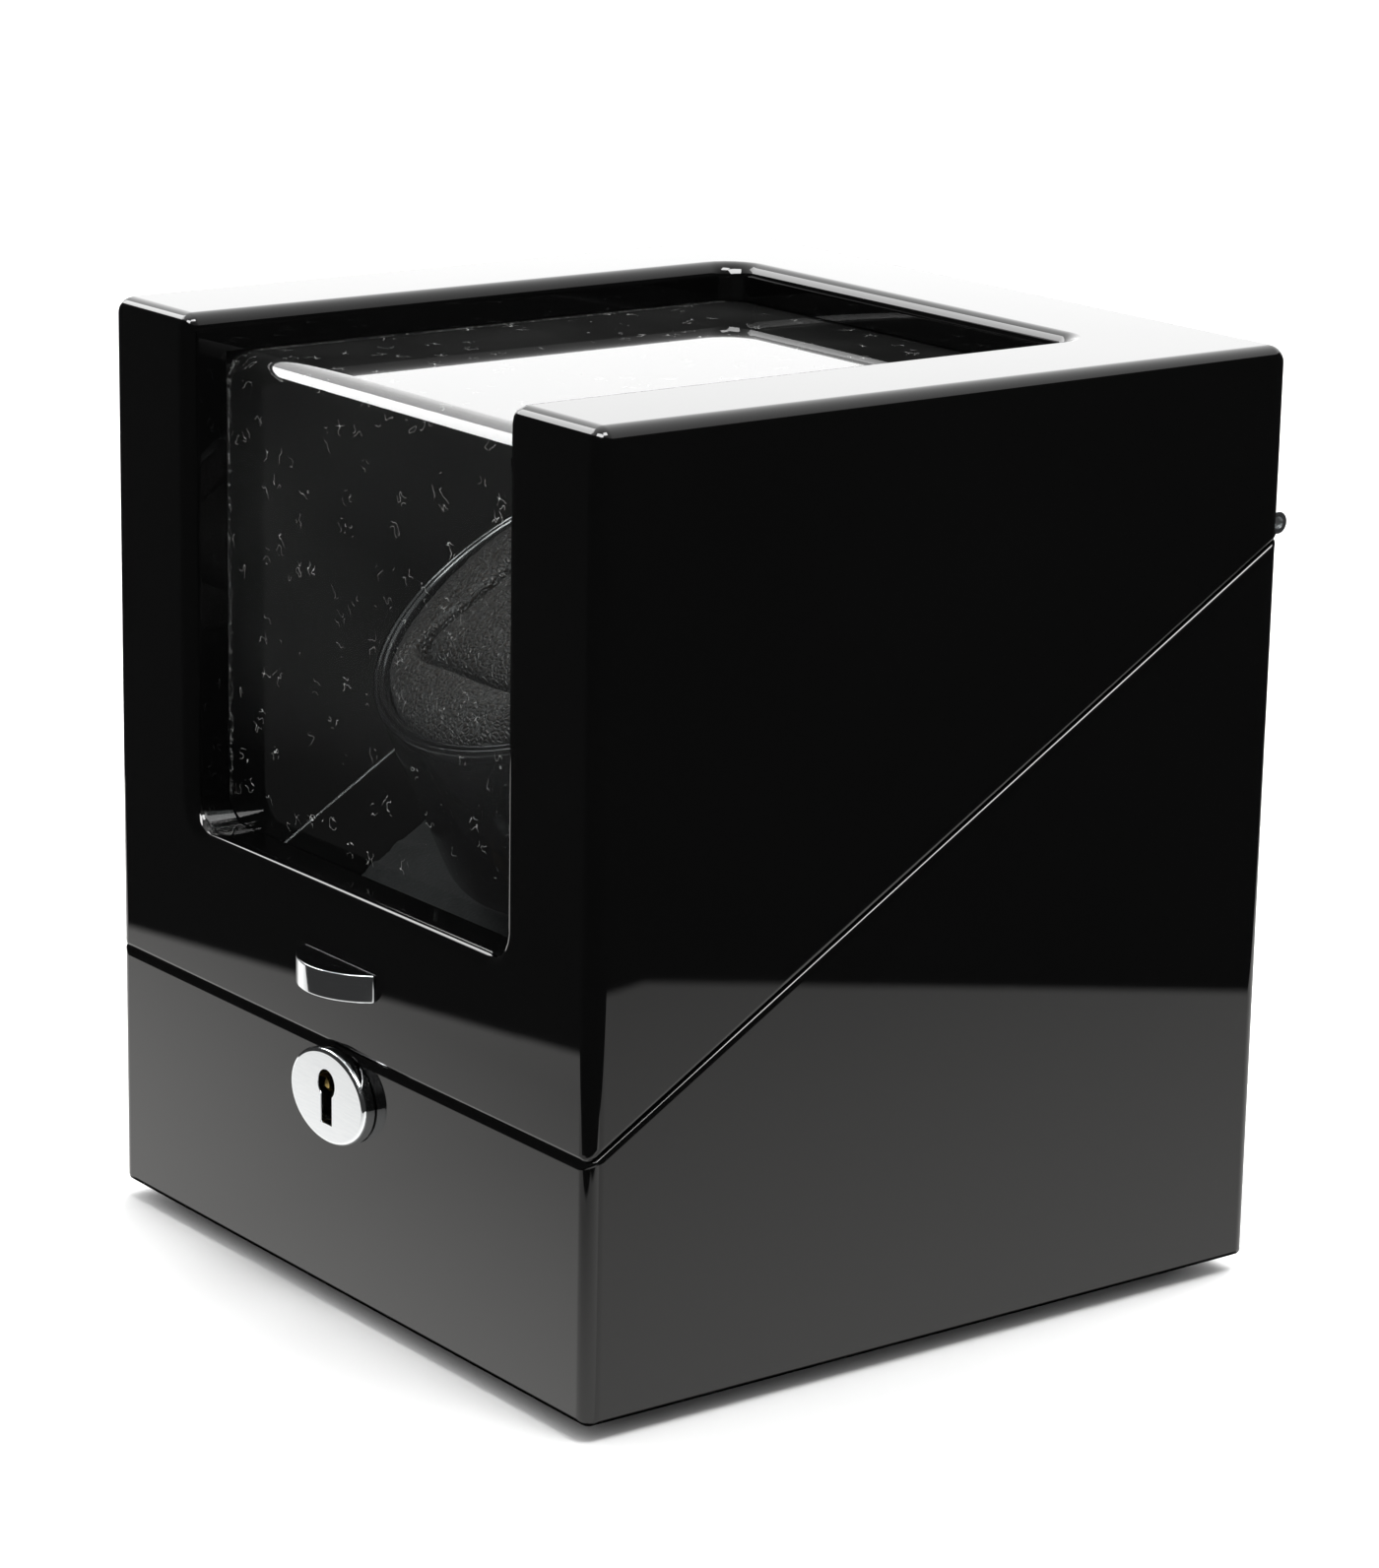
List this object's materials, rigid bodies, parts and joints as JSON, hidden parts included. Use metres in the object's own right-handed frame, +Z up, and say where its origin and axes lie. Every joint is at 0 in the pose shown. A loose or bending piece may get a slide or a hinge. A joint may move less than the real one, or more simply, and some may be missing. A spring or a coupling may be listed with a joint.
{
  "type": "watch winder box",
  "caption": "Black lacquered single watch winder box: sloping-seam hinged lid with bent window, tilted belt-driven drum with lift-out cushion, lock, rear controls.",
  "frame": {"origin": "centre of the bounding box on the surface that the feet stand on", "axes": "+Z up, front with the window, pull and lock facing -Y, hinge at +Y, +X to the right seen from the front"},
  "size_m": [0.17, 0.1799, 0.1935],
  "materials": {
    "piano_lacquer": "black piano lacquer, polished, over fibreboard",
    "clear_acrylic": "clear bent acrylic sheet",
    "chrome_plate": "bright chrome plate",
    "zinc_steel": "zinc-plated steel",
    "rubber": "black moulded rubber",
    "black_board": "satin black painted fibreboard",
    "raw_board": "bare fibreboard",
    "velvet": "black velveteen",
    "gloss_black_plastic": "gloss black moulded plastic",
    "leather": "black grained leather over foam",
    "matt_black_plastic": "fine-textured black plastic",
    "steel_can": "stamped tin-plated steel",
    "circuit_board": "green solder mask on glass-epoxy board",
    "brass": "plain brass"
  },
  "bodies": {
    "base": {"base_shell": "piano_lacquer", "bottom_panel": "black_board", "bottom_screw_1": "zinc_steel", "bottom_screw_2": "zinc_steel", "bottom_screw_3": "zinc_steel", "bottom_screw_4": "zinc_steel", "foot_front_left": "rubber", "foot_front_right": "rubber", "foot_back_left": "rubber", "foot_back_right": "rubber", "deck_panel": "raw_board", "deck_lining": "velvet", "deck_cleat_left": "raw_board", "deck_cleat_right": "raw_board", "deck_screw_1": "zinc_steel", "deck_screw_2": "zinc_steel", "drum_plinth": "gloss_black_plastic", "upper_bush": "brass", "lower_bush": "brass", "motor_plate": "zinc_steel", "spacer_post_1": "zinc_steel", "spacer_post_2": "zinc_steel", "spacer_post_3": "zinc_steel", "gear_motor": "zinc_steel", "motor_screw_1": "zinc_steel", "motor_screw_2": "zinc_steel", "drive_belt": "rubber", "circuit_board": "circuit_board", "control_panel": "matt_black_plastic", "turns_selector": "matt_black_plastic", "direction_switch": "steel_can", "dc_jack": "matt_black_plastic", "lock_case": "brass", "keyhole_plate": "chrome_plate", "hinge_leaf_base": "chrome_plate", "hinge_pin": "zinc_steel", "hinge_screw_base_1": "zinc_steel", "hinge_screw_base_2": "zinc_steel", "hinge_screw_base_3": "zinc_steel"},
    "lid": {"lid_shell": "piano_lacquer", "window_pane": "clear_acrylic", "lid_pull": "chrome_plate", "pull_screw": "zinc_steel", "lock_staple": "brass", "hinge_leaf_lid": "chrome_plate", "hinge_screw_lid_1": "zinc_steel", "hinge_screw_lid_2": "zinc_steel", "hinge_screw_lid_3": "zinc_steel"},
    "drum": {"drum_cup": "gloss_black_plastic", "drum_rim": "gloss_black_plastic", "drum_pad": "leather", "drum_shaft": "zinc_steel", "shaft_clip": "zinc_steel", "drum_pulley": "matt_black_plastic"},
    "cushion": {"watch_cushion": "leather"},
    "motor_rotor": {"motor_shaft": "zinc_steel", "motor_pulley": "matt_black_plastic"},
    "bolt": {"lock_bolt": "zinc_steel"},
    "knob": {"turns_knob": "matt_black_plastic"},
    "lever": {"direction_lever": "matt_black_plastic"}
  },
  "joints": [
    {"name": "lid_hinge", "type": "hinge", "parent": "base", "child": "lid", "pos_m": [0, 0.08765, 0.15684], "axis": [-1, 0, 0], "range_deg": [0, 95]},
    {"name": "drum_spin", "type": "hinge", "parent": "base", "child": "drum", "pos_m": [0, -0.00196, 0.10351], "axis": [0, -0.5114, 0.8593], "continuous": true},
    {"name": "cushion_lift", "type": "slide", "parent": "drum", "child": "cushion", "axis": [0, -0.5114, 0.8593], "range_m": [0, 0.018]},
    {"name": "motor_spin", "type": "hinge", "parent": "base", "child": "motor_rotor", "pos_m": [0.042, -0.00196, 0.10351], "axis": [0, -0.5114, 0.8593], "continuous": true},
    {"name": "bolt_slide", "type": "slide", "parent": "base", "child": "bolt", "axis": [1, 0, 0], "range_m": [0, 0.005]},
    {"name": "turns_select", "type": "hinge", "parent": "base", "child": "knob", "pos_m": [-0.019, 0.088, 0.0495], "axis": [0, 1, 0], "range_deg": [0, 180]},
    {"name": "direction_select", "type": "slide", "parent": "base", "child": "lever", "axis": [1, 0, 0], "range_m": [-0.003, 0.003]}
  ],
  "couplings": [
    {"joint": "motor_spin", "follows": "drum_spin", "ratio": 5}
  ]
}
